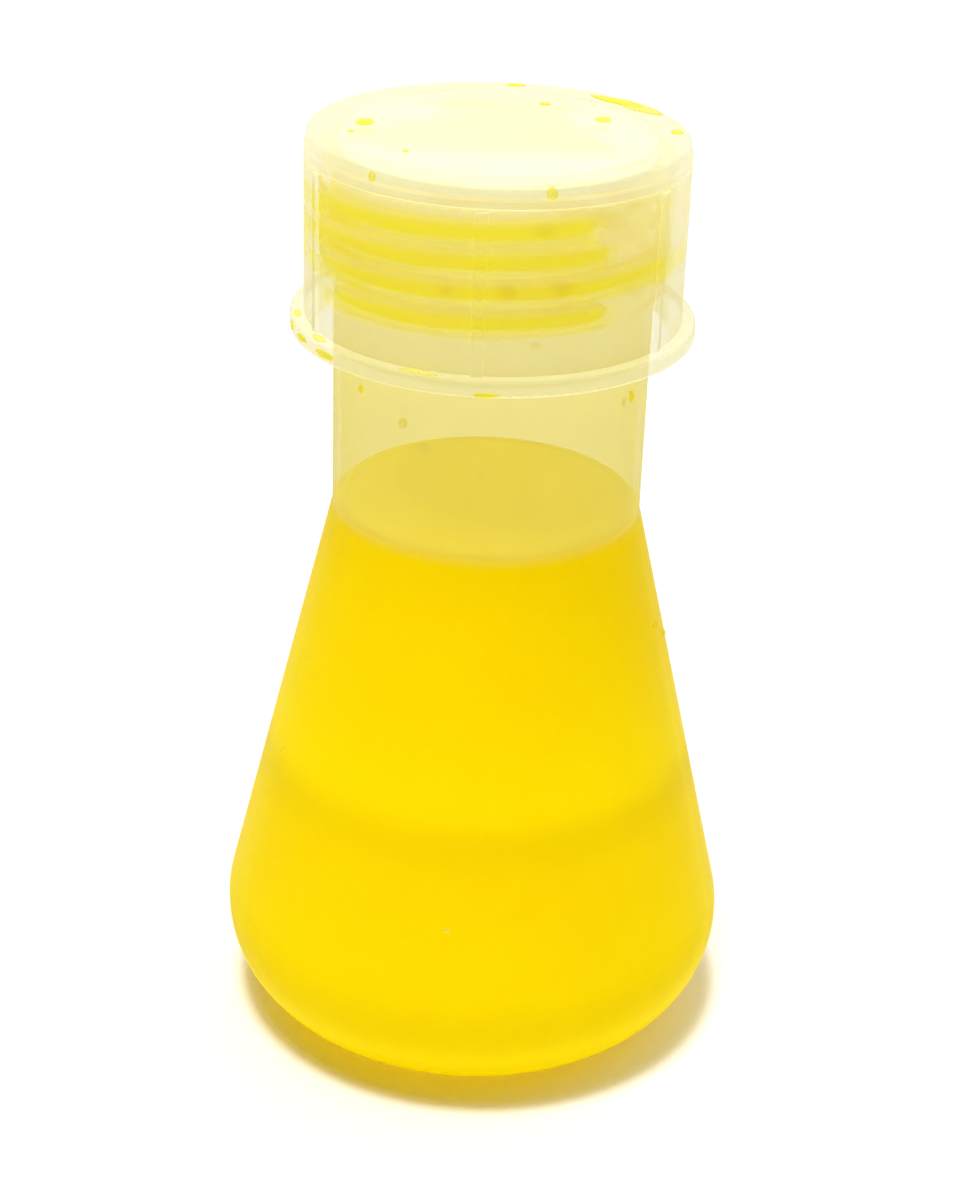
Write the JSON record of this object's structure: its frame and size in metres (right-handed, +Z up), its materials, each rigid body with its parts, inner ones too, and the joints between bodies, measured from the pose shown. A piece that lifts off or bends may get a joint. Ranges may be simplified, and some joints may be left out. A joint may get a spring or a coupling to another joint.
{
  "type": "conical flask",
  "caption": "Translucent plastic conical flask with a wide threaded neck, a ribbed and flanged screw cap with a sealing disc, filled with yellow liquid up to the shoulder.",
  "frame": {"origin": "centre of the flask's base, on the table", "axes": "+Z up along the axis of the flask and its cap; -Y is the front"},
  "size_m": [0.064, 0.064, 0.1151],
  "materials": {
    "flask_polypropylene": "satin, translucent",
    "yellow_liquid": "clear yellow liquid",
    "disc_polyethylene": "matt",
    "cap_polypropylene": "satin, translucent"
  },
  "bodies": {
    "flask": {"flask_body": "flask_polypropylene", "liquid_fill": "yellow_liquid"},
    "disc": {"sealing_disc": "disc_polyethylene"},
    "cap": {"screw_cap": "cap_polypropylene"}
  },
  "joints": [
    {"name": "cap_lift", "type": "slide", "parent": "flask", "child": "disc", "axis": [0, 0, 1], "range_m": [0, 0.0238]},
    {"name": "cap_turn", "type": "hinge", "parent": "disc", "child": "cap", "pos_m": [0, 0, 0.1], "axis": [0, 0, 1], "range_deg": [0, 2520.5]}
  ],
  "couplings": [
    {"joint": "cap_turn", "follows": "cap_lift", "rad_per_m": 1848}
  ]
}
